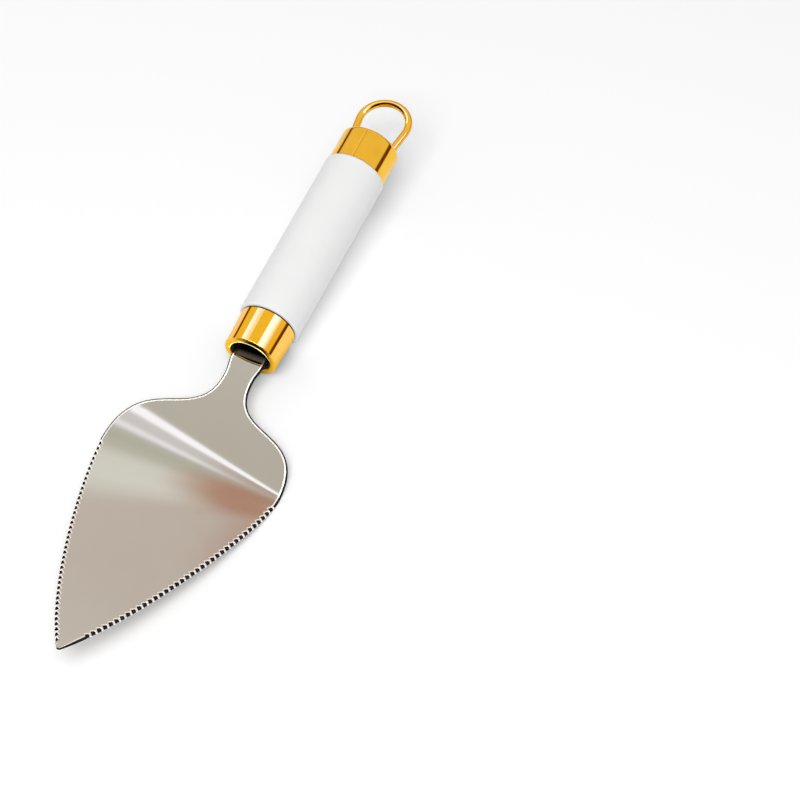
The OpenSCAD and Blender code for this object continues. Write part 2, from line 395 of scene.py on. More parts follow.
# Near-black ring on the sleeve's front face, in the seam behind the ferrule: painted shade
SEAM_PAINTED_SHADE = Moulding(
    name="seam_painted_shade", colour=(0.02, 0.013, 0.008), worn=(0.03, 0.02, 0.012), roughness=0.6,
    rough_swing=0.2, peel_size=0.3, peel_depth=0.01, patch_size=3.0, gloss=0.2)
BUSH_PLASTIC = Moulding(
    name="bush_plastic", colour=(0.03, 0.028, 0.026), worn=(0.045, 0.04, 0.036), roughness=0.45,
    rough_swing=0.2, peel_size=0.4, peel_depth=0.01, patch_size=5.0)


def middle(node: str) -> Vector:
    """Give the middle of a solid's box."""
    low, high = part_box(node)
    return (Vector(low) + Vector(high)) / 2


def handle_place(sleeve_len: float) -> Matrix:
    """Find where the handle's own frame lies, from the sleeve and the bush, which share the handle's axis.

    Args:
        sleeve_len: Length of the sleeve, whose front end is the frame's origin.

    Returns:
        The matrix from millimetres along the handle to metres in the part's frame.
    """
    sleeve = middle("handle_sleeve")
    axis = (middle("cap_bush") - sleeve).normalized()
    start = sleeve - axis * (sleeve_len / 2 * MM)
    tilt = math.atan2(axis.z, axis.y)
    return Matrix.Translation(start) @ Matrix.Rotation(tilt, 4, "X") @ Matrix.Scale(MM, 4)


def outward(mesh: Mesh, merge: bool = True) -> None:
    """Turn the faces of a closed mesh outwards.

    Args:
        mesh: The mesh, which is changed in place.
        merge: Whether its doubles are merged first.
    """
    work = bmesh.new()
    work.from_mesh(mesh)
    if merge:
        bmesh.ops.remove_doubles(work, verts=work.verts, dist=MERGE_DIST)
    bmesh.ops.recalc_face_normals(work, faces=work.faces)
    work.to_mesh(mesh)
    work.free()


def smooth(mesh: Mesh, sharp_over: float) -> None:
    """Shade a mesh smooth, apart from edges that turn by more than an angle in degrees."""
    mesh.shade_smooth()
    mesh.set_sharp_from_angle(angle=math.radians(sharp_over))


def curve(*knots: Flat, steps: int) -> list[Vector]:
    """Give points along a Bezier curve from its first knot to its last, drawn by the two between them."""
    return interpolate_bezier(*(Vector(knot) for knot in knots), steps)


def new_object(name: str, mesh: Mesh) -> Piece:
    """Put a mesh into the scene as an object at the origin.

    Args:
        name: Name of the object.
        mesh: Its mesh.

    Returns:
        The new object.
    """
    piece = bpy.data.objects.new(name, mesh)
    bpy.context.scene.collection.objects.link(piece)
    return piece


def hand_over(piece: Piece, node: str) -> None:
    """Let a piece ride on the body in the place of its solid.

    Args:
        piece: The finished piece.
        node: Name of the solid that it replaces.
    """
    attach(piece, BODY)
    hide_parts(node)
    LOG.info("%s: %d faces, in place of the solid", piece.name, len(piece.data.polygons))


class Recipe(Tree):
    """A Geometry Nodes tree with named inputs for its sizes."""

    def __init__(self, name: str, sizes: dict[str, float]) -> None:
        """Start a tree that takes a geometry and the named sizes.

        Args:
            name: Name of the tree.
            sizes: The value of each named input.
        """
        group = bpy.data.node_groups.new(name, "GeometryNodeTree")
        super().__init__(group)
        self.sizes = sizes
        group.interface.new_socket("Geometry", in_out="INPUT", socket_type="NodeSocketGeometry")
        group.interface.new_socket("Geometry", in_out="OUTPUT", socket_type="NodeSocketGeometry")
        for size in sizes:
            group.interface.new_socket(size, in_out="INPUT", socket_type="NodeSocketFloat")
        self.entry = self.add("NodeGroupInput")

    def size(self, name: str) -> Sock:
        """Give one of the named inputs."""
        return self.entry.out(name)

    def attribute(self, name: str, kind: str = "FLOAT") -> Sock:
        """Give an attribute of the geometry by its name."""
        return self.add("GeometryNodeInputNamedAttribute", {"Name": name}, data_type=kind)

    def close(self, geometry: Sock, coats: list[tuple[Sock | bool, Coat]]) -> None:
        """End the tree: make instances real and give the faces their materials.

        Args:
            geometry: What the tree has made.
            coats: Each material with the faces that take it, in order.
        """
        made = self.add("GeometryNodeRealizeInstances", {0: geometry})
        for chosen, material in coats:
            sockets = {"Geometry": made, "Selection": chosen, "Material": material}
            made = self.add("GeometryNodeSetMaterial", sockets)
        self.add("NodeGroupOutput", {0: made})

    def apply(self, piece: Piece) -> None:
        """Run the tree on a piece and keep the result as its plain mesh.

        Args:
            piece: The piece, whose first mesh is dropped.
        """
        modifier = piece.modifiers.new(self.nodes.name, "NODES")
        modifier.node_group = self.nodes
        for item in self.nodes.interface.items_tree:
            if item.in_out == "INPUT" and item.name in self.sizes:
                modifier[item.identifier] = self.sizes[item.name]
        depsgraph = bpy.context.evaluated_depsgraph_get()
        mesh = bpy.data.meshes.new_from_object(
            piece.evaluated_get(depsgraph), preserve_all_data_layers=True, depsgraph=depsgraph)
        piece.modifiers.remove(modifier)
        rough = piece.data
        piece.data = mesh
        bpy.data.meshes.remove(rough)
        mesh.name = piece.name

    def clamp(self, value: Sock) -> Sock:
        """Keep a value between 0 and 1."""
        return self.math("MINIMUM", self.math("MAXIMUM", value, 0.0), 1.0)


@dataclass(frozen=True)
class EdgePoint:
    """A place on half of the blade's flat outline.

    Attributes:
        across: Distance from the middle line.
        along: Distance from the tip, along the sheet.
        run: Length along the toothed edge, from the tip.
        inward: Unit vector into the sheet.
    """

    across: float
    along: float
    run: float
    inward: Flat


class Zone(Enum):
    """Which finish a strip of the blade's edge takes: RIM the near-white steel of a painted highlight, CUT
    the near-black steel of a painted dark reflection away from the tooth tips.
    """

    FACE = 0
    RIM = 1
    CUT = 2


@dataclass(frozen=True)
class Ring:
    """One line round the sheet's edge.

    Attributes:
        inset: Distance in from the outline.
        height: Height above the middle of the sheet.
        bite: Share of the teeth's depth that the line follows.
        zone: Finish of the strip from this line to the next.
    """

    inset: float
    height: float
    bite: float
    zone: Zone


@dataclass
class Blade:
    """The stamped sheet: toothed blade, bend at the heel, neck and tang.

    Lengths along the sheet are counted from the tip. The bend at the heel is a cone: short at the right edge
    and long at the left one. It starts flat at the blade's side and gets tighter towards the neck.
    """

    sheet_t: float = 1.2
    blade_len: float = 87.4
    blade_w: float = 64.5
    widest_at: float = 89.0
    tip_w: float = 1.0
    tip_flare: float = 0.77
    tip_pull: float = 19.0
    heel_pull: float = 17.0
    blade_rise: float = 15.0
    bend_right: float = 13.3
    bend_left: float = 59.0
    bend_slack: float = 0.33
    tooth_pitch: float = 2.25
    tooth_depth: float = 0.8
    tooth_slope: float = 0.75
    tooth_start: float = 3.0
    tooth_end: float = 2.0
    neck_len: float = 45.5
    neck_fall: float = 5.5
    neck_w: float = 10.4
    neck_waist: float = 8.0
    shoulder_pull: float = 28.0
    neck_pull: float = 21.0
    horn_w: float = 12.2
    root_out: float = 1.0
    tang_w: float = 9.0
    tang_len: float = 26.0
    neck_bend_r: float = 20.0
    ferrule_len: float = 13.9
    well_floor: float = -8.55
    rim_w: float = 0.95
    rim_h: float = 0.4
    foot_r: float = 0.25
    top_bite: float = 1.1
    foot_bite: float = 0.15
    peak: float = 0.3
    plain_teeth: int = 3
    field_gap: float = 0.3
    field_share: float = 0.5
    lead: float = 0.06
    tang_step: float = 0.2
    tip_inward: Flat = (-0.5, 0.85)
    tang_inward: Flat = (-0.7, -0.7)
    edge_steps: int = 800
    end_steps: int = 6
    tooth_steps: int = 8
    shoulder_steps: int = 200
    horn_steps: int = 24
    rim_steps: int = 6
    bright_steps: int = 2
    foot_steps: int = 3
    columns: int = 24

    def build(self, place: Matrix) -> Piece:
        """Make the sheet flat, cut its teeth, bend it and set it down.

        Args:
            place: The matrix from the handle's frame to the part's.

        Returns:
            The finished piece.
        """
        piece = new_object("steel_blade", self.flat_sheet())
        self.shaping().apply(piece)
        piece.data.transform(place)
        smooth(piece.data, SHARP_DRAWN)
        hand_over(piece, "blade")
        return piece

    @property
    def root_at(self) -> float:
        """Distance of the neck's root from the tip, along the sheet, which the bend cuts a corner of."""
        return self.blade_len + self.neck_len - self.bend_slack

    def toothed_edge(self) -> tuple[list[Vector], list[float]]:
        """Follow the toothed edge on the right, from the tip to its widest place.

        Returns:
            Close points along it, and the length along it up to each.
        """
        half_tip = self.tip_w / 2
        half_w = self.blade_w / 2
        points = curve((half_tip, 0.0), (half_tip + self.tip_flare * self.tip_pull, self.tip_pull),
                       (half_w, self.widest_at - self.heel_pull), (half_w, self.widest_at),
                       steps=self.edge_steps)
        runs = [0.0]
        for before, after in zip(points, points[1:]):
            runs.append(runs[-1] + (after - before).length)
        return points, runs

    def tooth_count(self, edge_len: float) -> int:
        """Give how many whole teeth fit on an edge of some length."""
        return math.floor((edge_len - self.tooth_start - self.tooth_end) / self.tooth_pitch)

    def half_outline(self) -> list[EdgePoint]:
        """Follow the right half of the flat outline, from the tip to the tang's end.

        Returns:
            The places along it, several to each tooth.
        """
        edge, runs = self.toothed_edge()
        edge_len = runs[-1]
        teeth = self.tooth_count(edge_len)
        step = self.tooth_pitch / self.tooth_steps
        stops = [self.tooth_start * i / self.end_steps for i in range(self.end_steps)]
        stops += [self.tooth_start + step * i for i in range(teeth * self.tooth_steps)]
        last = self.tooth_start + teeth * self.tooth_pitch
        stops += [last + (edge_len - last) * i / self.end_steps for i in range(self.end_steps)]
        path: list[tuple[Vector, float]] = []
        at = 0
        for stop in stops:
            while runs[at + 1] < stop:
                at += 1
            share = (stop - runs[at]) / (runs[at + 1] - runs[at])
            path.append((edge[at].lerp(edge[at + 1], share), stop))
        waist_at = self.root_at - self.neck_waist
        half_w, half_neck, half_horn = self.blade_w / 2, self.neck_w / 2, self.horn_w / 2
        shoulder = curve((half_w, self.widest_at), (half_w, self.widest_at + self.shoulder_pull),
                         (half_neck, waist_at - self.neck_pull), (half_neck, waist_at),
                         steps=self.shoulder_steps)
        horn = curve((half_neck, waist_at), (half_neck, waist_at + self.neck_waist / 2),
                     (half_horn, self.root_at - self.neck_waist / 2), (half_horn, self.root_at),
                     steps=self.horn_steps)
        tang_from = self.root_at + self.ferrule_len + self.root_out
        step_at = tang_from + self.well_floor
        tang = [Vector((half_horn, step_at)), Vector((self.tang_w / 2, step_at + self.tang_step)),
                Vector((self.tang_w / 2, tang_from + self.tang_len))]
        path += [(point, edge_len) for point in shoulder + horn[1:] + tang]
        return self.with_normals(path)

    def with_normals(self, path: list[tuple[Vector, float]]) -> list[EdgePoint]:
        """Add to each place of a path the direction into the sheet.

        Args:
            path: Points, each with its length along the toothed edge.

        Returns:
            The places with their directions.
        """
        places = []
        for i, (point, run) in enumerate(path):
            ahead = path[min(i + 1, len(path) - 1)][0] - path[max(i - 1, 0)][0]
            ahead.normalize()
            inward = Vector((-ahead.y, ahead.x))
            if i == 0:
                inward = Vector(self.tip_inward)
            if i == len(path) - 1:
                inward = Vector(self.tang_inward)
            places.append(EdgePoint(point.x, point.y, run, tuple(inward)))
        return places

    def rings(self) -> list[Ring]:
        """Lay lines round the edge, from the top face over the rounded rim to the bottom face.

        Returns:
            The lines, in order.
        """
        top = self.sheet_t / 2
        field = self.top_bite * self.tooth_depth + self.rim_w + self.field_gap
        lines = [Ring(field, top, 0.0, Zone.FACE),
                 Ring(self.rim_w + self.lead, top, self.top_bite, Zone.FACE)]
        # The first steps over the rim, and the rounding of the foot, take the near-white steel of a painted
        # highlight; the rest of the rim takes the near-black steel of a painted dark reflection, apart from
        # the tooth tips
        for i in range(self.rim_steps + 1):
            turn = math.radians(90.0 * i / self.rim_steps)
            lines.append(Ring(self.rim_w * (1 - math.sin(turn)), top - self.rim_h * (1 - math.cos(turn)),
                              self.top_bite, Zone.CUT if i >= self.bright_steps else Zone.RIM))
        for i in range(self.foot_steps + 1):
            turn = math.radians(90.0 * i / self.foot_steps)
            lines.append(Ring(self.foot_r * (1 - math.cos(turn)), self.foot_r * (1 - math.sin(turn)) - top,
                              self.foot_bite, Zone.FACE if i == self.foot_steps else Zone.RIM))
        lines.append(Ring(self.foot_r + self.lead, -top, self.foot_bite, Zone.FACE))
        lines.append(Ring(field, -top, 0.0, Zone.FACE))
        return lines

    def flat_sheet(self) -> Mesh:
        """Make the flat sheet in millimetres, with what the teeth need as attributes of its points.

        Returns:
            A closed mesh: X across, Y along from the tip, Z up from the middle of the sheet.
        """
        half = self.half_outline()
        rows = len(half)
        rings = self.rings()
        widest_inset = rings[0].inset
        verts: list[tuple[float, float, float]] = []
        run: list[float] = []
        bite: list[float] = []
        inward: list[float] = []
        faces: list[tuple[int, ...]] = []
        zones: list[int] = []

        def put(point: EdgePoint, side: int, ring: Ring) -> None:
            """Add the place where a line round the edge passes a place of the outline.

            Args:
                point: The place on the outline's right half.
                side: 1 for the right half and -1 for the left one.
                ring: The line round the edge.
            """
            inset = ring.inset * min(1.0, self.field_share * point.across / widest_inset)
            verts.append((side * (point.across + point.inward[0] * inset),
                          point.along + point.inward[1] * inset, ring.height))
            run.append(point.run)
            bite.append(ring.bite)
            inward.extend((side * point.inward[0], point.inward[1], 0.0))

        for ring in rings:
            for point in half:
                put(point, 1, ring)
            for point in reversed(half):
                put(point, -1, ring)
        loop = 2 * rows
        for k, ring in enumerate(rings[:-1]):
            for i in range(loop):
                j = (i + 1) % loop
                faces.append((k * loop + i, k * loop + j, (k + 1) * loop + j, (k + 1) * loop + i))
                zones.append(ring.zone.value)
        for k in (0, len(rings) - 1):
            lines = []
            for i in range(rows):
                right = k * loop + i
                left = k * loop + loop - 1 - i
                line = [left]
                for c in range(1, self.columns):
                    share = c / self.columns
                    line.append(len(verts))
                    verts.append(tuple(Vector(verts[left]).lerp(Vector(verts[right]), share)))
                    run.append(0.0)
                    bite.append(0.0)
                    inward.extend((0.0, 0.0, 0.0))
                lines.append(line + [right])
            for near, far in zip(lines, lines[1:]):
                for c in range(self.columns):
                    faces.append((near[c], near[c + 1], far[c + 1], far[c]))
                    zones.append(Zone.FACE.value)
        mesh = bpy.data.meshes.new("steel_blade_flat")
        mesh.from_pydata(verts, [], faces)
        for name, kind, domain, field, values in (
                ("run", "FLOAT", "POINT", "value", run),
                ("bite", "FLOAT", "POINT", "value", bite),
                ("inward", "FLOAT_VECTOR", "POINT", "vector", inward),
                ("zone", "INT", "FACE", "value", zones)):
            mesh.attributes.new(name, kind, domain).data.foreach_set(field, values)
        outward(mesh, merge=False)
        return mesh

    def fold(self, recipe: Recipe, along: Sock, height: Sock, at: float, turn: float,
             reach: float) -> tuple[Sock, Sock]:
        """Fold the sheet upwards on a round bend between its two flat sides.

        Args:
            recipe: The tree that the maths goes into.
            along: Place along the sheet.
            height: Height above the middle of the sheet.
            at: Where the two flat sides would meet.
            turn: Angle of the fold, in degrees.
            reach: Distance from there to where the bend starts, on each side.

        Returns:
            The new place along, and the new height.
        """
        angle = math.radians(turn)
        past = along - at
        radius = reach / math.tan(angle / 2)
        lean = recipe.clamp((past + reach) / (2.0 * reach)) * angle
        sine = recipe.math("SINE", lean)
        cosine = recipe.math("COSINE", lean)
        before = recipe.math("MINIMUM", past + reach, 0.0) - reach
        beyond = recipe.math("MAXIMUM", past - reach, 0.0)
        new_along = at + before + radius * sine + beyond * math.cos(angle) - height * sine
        new_height = radius * (1.0 - cosine) + beyond * math.sin(angle) + height * cosine
        return new_along, new_height

    def curl(self, recipe: Recipe, along: Sock, height: Sock, at: float, turn: float,
             length: Sock) -> tuple[Sock, Sock]:
        """Fold the sheet upwards on a bend that starts flat and gets tighter along its length.

        The lean grows with the square of the way along the bend, and the place on it is the sum of the first
        terms of the series of its sine and cosine.

        Args:
            recipe: The tree that the maths goes into.
            along: Place along the sheet.
            height: Height above the middle of the sheet.
            at: Where the two flat sides would meet.
            turn: Angle of the fold, in degrees.
            length: Length of the bend along the sheet.

        Returns:
            The new place along, and the new height.
        """
        angle = math.radians(turn)
        run_1, run_2 = angle ** 2 / 10, angle ** 4 / 216
        rise_0, rise_1, rise_2 = angle / 3, angle ** 3 / 42, angle ** 5 / 1320
        lead = 1 - run_1 + run_2 - (rise_0 - rise_1 + rise_2) / math.tan(angle)
        past = along - at + length * lead
        share = recipe.clamp(past / length)
        lean = share * share * angle
        fourth = share * share * share * share
        run = length * share * (1.0 - fourth * run_1 + fourth * fourth * run_2)
        rise = length * share * share * share * (rise_0 - fourth * rise_1 + fourth * fourth * rise_2)
        before = recipe.math("MINIMUM", past, 0.0)
        beyond = recipe.math("MAXIMUM", past - length, 0.0)
        sine = recipe.math("SINE", lean)
        cosine = recipe.math("COSINE", lean)
        new_along = at - length * lead + before + run + beyond * math.cos(angle) - height * sine
        new_height = rise + beyond * math.sin(angle) + height * cosine
        return new_along, new_height

    def shaping(self) -> Recipe:
        """Make the tree that cuts the teeth, folds the sheet and sets it on the handle's axis.

        Returns:
            The tree, which a flat sheet goes into.
        """
        edge_len = self.toothed_edge()[1][-1]
        last_peak = self.tooth_start + (self.tooth_count(edge_len) - 1 + self.tooth_slope) * self.tooth_pitch
        recipe = Recipe("blade_shaping", {
            "Tooth pitch": self.tooth_pitch, "Tooth depth": self.tooth_depth, "Long side": self.tooth_slope,
            "First tooth": self.tooth_start, "Last tooth": last_peak})
        across, along, height = recipe.split(recipe.add("GeometryNodeInputPosition"))
        in_across, in_along, _ = recipe.split(recipe.attribute("inward", "FLOAT_VECTOR"))
        run = recipe.attribute("run")
        slope = recipe.size("Long side")
        part = recipe.math("FRACT", (run - recipe.size("First tooth")) / recipe.size("Tooth pitch"))
        tooth = recipe.math("MAXIMUM", 1.0 - part / slope, (part - slope) / (1.0 - slope))
        plain = recipe.math("GREATER_THAN", across, 0.0) * self.plain_teeth * recipe.size("Tooth pitch")
        started = recipe.math("GREATER_THAN", run, plain + recipe.size("First tooth") - RUN_SLACK)
        ended = recipe.math("GREATER_THAN", run, recipe.size("Last tooth") + RUN_SLACK)
        toothed = started * (1.0 - ended)
        sink = tooth * recipe.size("Tooth depth") * recipe.attribute("bite") * toothed
        across = across + in_across * sink
        along = along + in_along * sink
        root_reach = self.neck_bend_r * math.tan(math.radians(self.neck_fall) / 2)
        along, height = self.fold(recipe, along, height, self.root_at, -self.neck_fall, root_reach)
        slant = (self.bend_right - self.bend_left) / self.blade_w
        length = across * slant + (self.bend_right + self.bend_left) / 2
        bend = self.neck_fall + self.blade_rise
        along, height = self.curl(recipe, along, height, self.blade_len, bend, length)
        rise = math.radians(self.blade_rise)
        fall = math.radians(self.neck_fall)
        heel_y = -self.ferrule_len - self.root_out - self.neck_len * math.cos(fall)
        heel_z = -self.neck_len * math.sin(fall)
        past = along - self.blade_len
        sockets = {0: across,
                   1: past * math.cos(rise) + height * math.sin(rise) + heel_y,
                   2: height * math.cos(rise) - past * math.sin(rise) + heel_z}
        shaped = recipe.add("ShaderNodeCombineXYZ", sockets)
        moved = recipe.add("GeometryNodeSetPosition", {"Geometry": recipe.entry, "Position": shaped})
        zone = recipe.attribute("zone", "INT")
        # The rims take the near-white steel of a painted highlight; the cut faces, apart from the tooth tips,
        # take the near-black steel of a painted dark reflection
        painted_dark_off_tips = 1.0 - toothed * recipe.math("LESS_THAN", tooth, self.peak)
        recipe.close(moved, [
            (True, POLISHED_STEEL.material()),
            (recipe.math("GREATER_THAN", zone, Zone.RIM.value - ZONE_SLACK), STEEL_RIM_PAINTED_HIGHLIGHT.material()),
            (recipe.math("COMPARE", zone, Zone.CUT.value, ZONE_SLACK) * painted_dark_off_tips, CUT_STEEL_PAINTED_DARK.material())])
        return recipe


def arc(centre: Flat, radius: float, start: float, end: float, steps: int = 12) -> list[Flat]:
    """Give the points of an arc in a turned profile.

    Args:
        centre: Radius from the axis and place along it.
        radius: Radius of the arc.
        start: First angle in degrees, 0 straight out from the axis and 90 along it.
        end: Last angle in degrees.
        steps: Number of pieces.

    Returns:
        The points, both ends among them.
    """
    turns = [math.radians(start + (end - start) * i / steps) for i in range(steps + 1)]
    return [(centre[0] + radius * math.cos(turn), centre[1] + radius * math.sin(turn)) for turn in turns]


def guarded(profile: list[Flat], closed: bool) -> list[Flat]:
    """Add points near both ends of each long straight run of a profile, so that its shading stays flat.

    Args:
        profile: Points as radius and place along the axis.
        closed: Whether the last point joins the first.

    Returns:
        The points with the new ones among them.
    """
    points = []
    for i, start in enumerate(profile):
        points.append(start)
        end = profile[(i + 1) % len(profile)]
        run = math.dist(start, end)
        if run > LONG_RUN and (closed or i < len(profile) - 1):
            for share in (GUARD / run, 1 - GUARD / run):
                points.append(tuple(near + (far - near) * share for near, far in zip(start, end)))
    return points


def turned(name: str, profile: list[Flat], place: Matrix, material: Coat) -> Piece:
    """Turn a closed profile round the handle's axis.

    Args:
        name: Name of the piece.
        profile: Points as radius and place along the axis. It may start and end on the axis.
        place: The matrix from the handle's frame to the part's.
        material: Finish of the piece.

    Returns:
        The piece, smooth apart from its sharp corners.
    """
    verts = []
    faces = []
    on_axis = profile[0][0] == 0.0
    profile = guarded(profile, not on_axis)
    count = len(profile)
    for side in range(TURN_SIDES):
        turn = 2 * math.pi * side / TURN_SIDES
        for radius, along in profile:
            verts.append((radius * math.sin(turn), along, radius * math.cos(turn)))
        for i in range(count - 1 if on_axis else count):
            j = (i + 1) % count
            other = (side + 1) % TURN_SIDES
            faces.append((side * count + i, side * count + j, other * count + j, other * count + i))
    mesh = bpy.data.meshes.new(name)
    mesh.from_pydata(verts, [], faces)
    outward(mesh)
    mesh.transform(place)
    mesh.materials.append(material)
    smooth(mesh, SHARP_TURNED)
    return new_object(name, mesh)


@dataclass
class FrontFerrule:
    """The drawn gold cup with a rolled-in mouth, which the neck goes into."""

    length: float = 13.9
    diameter: float = 18.87
    flare: float = 0.8
    edge_r: float = 1.8
    edge_len: float = 0.55
    mouth_d: float = 14.4
    metal_t: float = 0.8
    burr: float = 0.12
    seam: float = 0.4
    edge_steps: int = 24

    def profile(self) -> list[Flat]:
        """Draw the section of the cup's wall.

        Returns:
            Its points as radius and place along the axis.
        """
        outer = self.diameter / 2
        rear = outer + self.flare / 2
        lip = self.metal_t / 2
        inner_r = self.edge_r - self.metal_t
        rolled = (self.mouth_d / 2 + lip, lip - self.length)
        edge = [(outer - self.edge_r + r, self.edge_len - self.length + along * self.edge_len / self.edge_r)
                for r, along in arc((0.0, 0.0), self.edge_r, 0.0, -90.0, self.edge_steps)]
        return ([(rear - self.metal_t, -self.seam), (rear - self.burr, -self.seam),
                 (rear, -self.seam - self.burr)]
                + edge
                + arc(rolled, lip, -90.0, -270.0)
                + arc((outer - self.edge_r, self.edge_r - self.length), inner_r, -90.0, 0.0))

    def build(self, place: Matrix) -> Piece:
        """Turn the ferrule and dress it in bright gold.

        Args:
            place: The matrix from the handle's frame to the part's.

        Returns:
            The finished piece.
        """
        piece = turned("gold_front_ferrule", self.profile(), place, BRIGHT_GOLD.material())
        hand_over(piece, "front_ferrule")
        return piece


@dataclass
class HandleSleeve:
    """The white tube between the two gold fittings."""

    length: float = 66.3
    diameter: float = 21.6
    bore_d: float = 16.0
    edge_r: float = 0.7
    seam_shade_d: float = 19.4

    def profile(self) -> list[Flat]:
        """Draw the section of the tube's wall, with a corner where the painted shade in the seam with the
        ferrule ends.

        Returns:
            Its points as radius and place along the axis.
        """
        bore = self.bore_d / 2
        edge_at = self.diameter / 2 - self.edge_r
        return ([(bore, 0.0), (self.seam_shade_d / 2, 0.0)]
                + arc((edge_at, self.edge_r), self.edge_r, -90.0, 0.0)
                + arc((edge_at, self.length - self.edge_r), self.edge_r, 0.0, 90.0)
                + [(bore, self.length)])

    def build(self, place: Matrix) -> Piece:
        """Turn the sleeve and dress it in white plastic, with painted shade in the seam behind the ferrule.

        Args:
            place: The matrix from the handle's frame to the part's.

        Returns:
            The finished piece.
        """
        piece = turned("white_handle_sleeve", self.profile(), place, WHITE_SLEEVE.material())
        piece.data.materials.append(SEAM_PAINTED_SHADE.material())
        back = place.inverted()
        # The front face inside the seam's ring takes the near-black finish: painted shade in the seam
        for face in piece.data.polygons:
            across, along, up = back @ face.center
            if along < self.edge_r / 2 and math.hypot(across, up) < self.seam_shade_d / 2:
                face.material_index = 1
        hand_over(piece, "handle_sleeve")
        return piece


@dataclass
class RearCap:
    """The drawn gold cup with a closed end, which the loop's legs go through."""

    starts_at: float = 66.3
    length: float = 13.0
    diameter: float = 20.8
    edge_r: float = 1.6
    metal_t: float = 0.8
    burr: float = 0.12

    def profile(self) -> list[Flat]:
        """Draw the section of the cup's wall, from the axis round to the axis.

        Returns:
            Its points as radius and place along the axis.
        """
        outer = self.diameter / 2
        end = self.starts_at + self.length
        corner = (outer - self.edge_r, end - self.edge_r)
        return ([(0.0, end)]
                + arc(corner, self.edge_r, 90.0, 0.0)
                + [(outer, self.starts_at + self.burr), (outer - self.burr, self.starts_at),
                   (outer - self.metal_t, self.starts_at)]
                + arc(corner, self.edge_r - self.metal_t, 0.0, 90.0)
                + [(0.0, end - self.metal_t)])

    def build(self, place: Matrix) -> Piece:
        """Turn the cap and dress it in brushed gold.

        Args:
            place: The matrix from the handle's frame to the part's.

        Returns:
            The finished piece.
        """
        piece = turned("gold_rear_cap", self.profile(), place, BRUSHED_GOLD.material())
        hand_over(piece, "rear_cap")
        return piece


@dataclass
class HangingLoop:
    """The U of round wire, with a staked head on each leg inside the cap."""

    cap_end: float = 79.3
    cap_wall: float = 0.8
    wire_d: float = 2.5
    bend_thin: float = 0.06
    leg_span: float = 14.9
    loop_r: float = 8.7
    reach: float = 19.4
    head_d: float = 3.1
    head_t: float = 1.2
    head_step: float = 0.02
    thin_after: float = 0.5
    fit: float = 0.05
    bend_steps: int = 72
    sides: int = 32

    def path(self) -> list[tuple[Vector, float]]:
        """Lay out the points that the wire follows.

        Returns:
            The points, each with the wire's radius there.
        """
        bend_r = (self.wire_d - self.bend_thin) / 2
        centre = Vector((0.0, self.cap_end + self.reach - self.loop_r - bend_r, 0.0))
        rise = centre.y - self.cap_end
        half_span = self.leg_span / 2
        lean = math.asin(self.loop_r / math.hypot(rise, half_span)) - math.atan2(half_span, rise)
        leg_in = (self.cap_wall + self.head_t) / math.cos(lean) + self.head_d / 2 * math.tan(lean) + self.fit
        out = (rise - self.loop_r * math.sin(lean)) / math.cos(lean)
        stops = [(-leg_in, self.head_d / 2), (self.head_t - leg_in, self.head_d / 2),
                 (self.head_t - leg_in + self.head_step, self.wire_d / 2),
                 (self.thin_after * out, self.wire_d / 2)]
        leg = [(Vector((half_span + math.sin(lean) * at, self.cap_end + math.cos(lean) * at, 0.0)), r)
               for at, r in stops]
        bend = []
        for i in range(self.bend_steps + 1):
            turn = -lean + (math.pi + 2 * lean) * i / self.bend_steps
            bend.append((centre + self.loop_r * Vector((math.cos(turn), math.sin(turn), 0.0)), bend_r))
        other = [(Vector((-point.x, point.y, 0.0)), r) for point, r in reversed(leg)]
        return leg + bend + other

    def drawing(self) -> Recipe:
        """Make the tree that draws the wire along its path.

        Returns:
            The tree, which a line of points goes into.
        """
        recipe = Recipe("loop_wire", {"Unit": 1.0})
        line = recipe.add("GeometryNodeMeshToCurve", {"Mesh": recipe.entry})
        ring = recipe.add("GeometryNodeCurvePrimitiveCircle", {
            "Resolution": self.sides, "Radius": recipe.size("Unit")})
        wire = recipe.add("GeometryNodeCurveToMesh", {
            "Curve": line, "Profile Curve": ring, "Scale": recipe.attribute("wire_r"), "Fill Caps": True})
        recipe.close(wire, [(True, GOLD_WIRE.material())])
        return recipe

    def build(self, place: Matrix) -> Piece:
        """Draw the wire along its path and set it down.

        Args:
            place: The matrix from the handle's frame to the part's.

        Returns:
            The finished piece.
        """
        path = self.path()
        mesh = bpy.data.meshes.new("gold_hanging_loop")
        mesh.from_pydata([tuple(point) for point, _ in path], [(i, i + 1) for i in range(len(path) - 1)], [])
        mesh.attributes.new("wire_r", "FLOAT", "POINT").data.foreach_set("value", [r for _, r in path])
        piece = new_object("gold_hanging_loop", mesh)
        self.drawing().apply(piece)
        outward(piece.data)
        piece.data.transform(place)
        smooth(piece.data, SHARP_DRAWN)
        hand_over(piece, "hanging_loop")
        return piece


class Inside:
    """The pieces inside the handle, which keep their solids and get a better finish."""

    finishes = {"core_upper": DARK_CORE, "core_lower": DARK_CORE,
                "tang_pins": PIN_STEEL, "cap_bush": BUSH_PLASTIC}

    def dress(self) -> None:
        """Give each solid its finish."""
        made: dict[str, Coat] = {}
        for node, finish in self.finishes.items():
            if finish.name not in made:
                made[finish.name] = finish.material()
            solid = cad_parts[node]
            for slot in solid.material_slots:
                slot.material = made[finish.name]
            LOG.info("%s: solid kept, dressed in %s", node, finish.name)


def first_sight(tree: Tree) -> Sock:
    """Give 1 for what the metal mirrors to the camera, and 0 for what it would throw on the table."""
    bounces = tree.add("ShaderNodeLightPath").out("Diffuse Depth")
    return 1.0 - tree.math("MINIMUM", bounces, 1.0)


